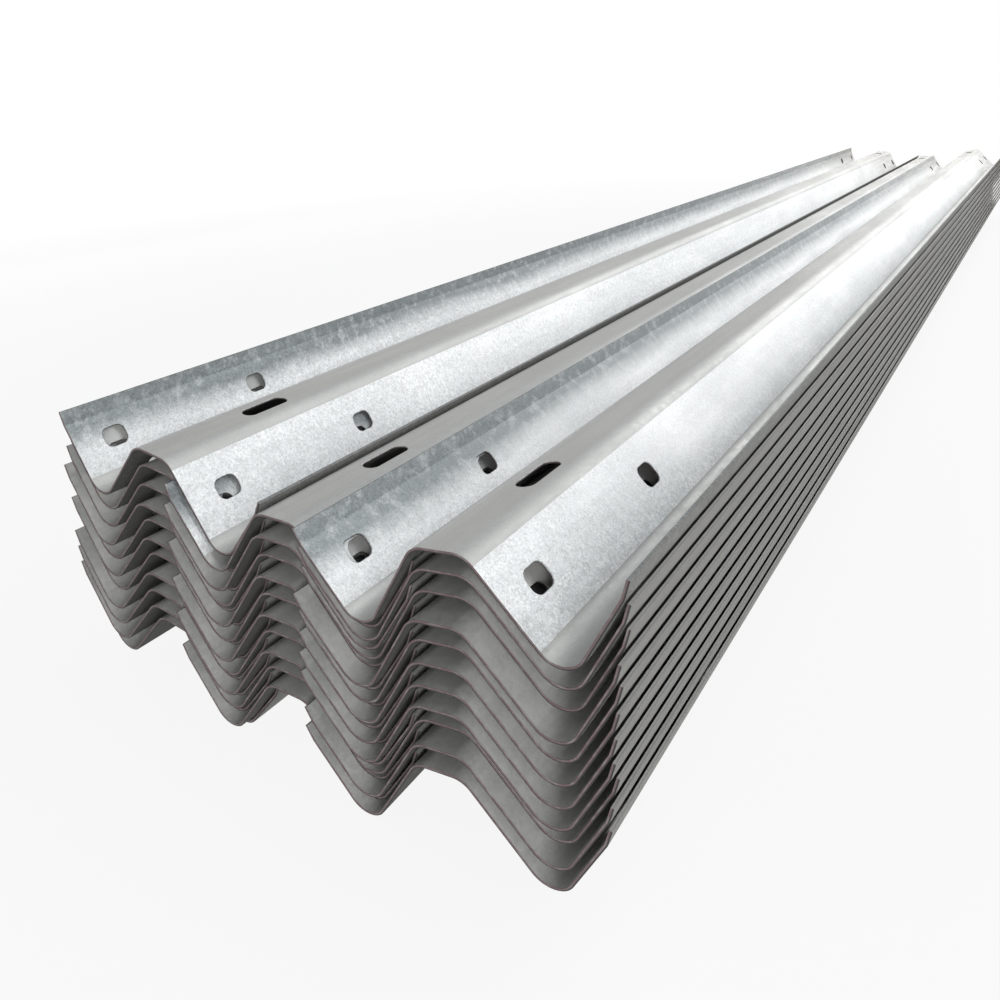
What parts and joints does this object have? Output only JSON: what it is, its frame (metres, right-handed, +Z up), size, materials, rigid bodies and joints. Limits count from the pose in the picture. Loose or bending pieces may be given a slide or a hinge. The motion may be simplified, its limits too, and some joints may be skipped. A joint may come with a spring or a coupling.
{
  "type": "guardrail beam bundle",
  "caption": "Nested bundle of galvanised two-wave guardrail beams, laid in interleaved columns with splice slots and a post slot at each end",
  "frame": {"origin": "middle of the bundle's footprint, on the ground under the lowest beams", "axes": "+Y along the beams, away from the near end; +X across the bundle to the right as seen from the near end; +Z up"},
  "size_m": [0.6886, 4.364, 0.3167],
  "materials": {
    "galvanised_steel": "hot-dip galvanised, matt with fine spangle"
  },
  "bodies": {
    "root": {"left_beam_01": "galvanised_steel", "left_beam_02": "galvanised_steel", "left_beam_03": "galvanised_steel", "left_beam_04": "galvanised_steel", "left_beam_05": "galvanised_steel", "left_beam_06": "galvanised_steel", "left_beam_07": "galvanised_steel", "left_beam_08": "galvanised_steel", "left_beam_09": "galvanised_steel", "left_beam_10": "galvanised_steel", "left_beam_11": "galvanised_steel", "right_beam_01": "galvanised_steel", "right_beam_02": "galvanised_steel", "right_beam_03": "galvanised_steel", "right_beam_04": "galvanised_steel", "right_beam_05": "galvanised_steel", "right_beam_06": "galvanised_steel", "right_beam_07": "galvanised_steel", "right_beam_08": "galvanised_steel", "right_beam_09": "galvanised_steel", "right_beam_10": "galvanised_steel", "right_beam_11": "galvanised_steel", "middle_beam_01": "galvanised_steel", "middle_beam_02": "galvanised_steel", "middle_beam_03": "galvanised_steel", "middle_beam_04": "galvanised_steel", "middle_beam_05": "galvanised_steel", "middle_beam_06": "galvanised_steel", "middle_beam_07": "galvanised_steel", "middle_beam_08": "galvanised_steel", "middle_beam_09": "galvanised_steel", "middle_beam_10": "galvanised_steel"}
  },
  "joints": []
}
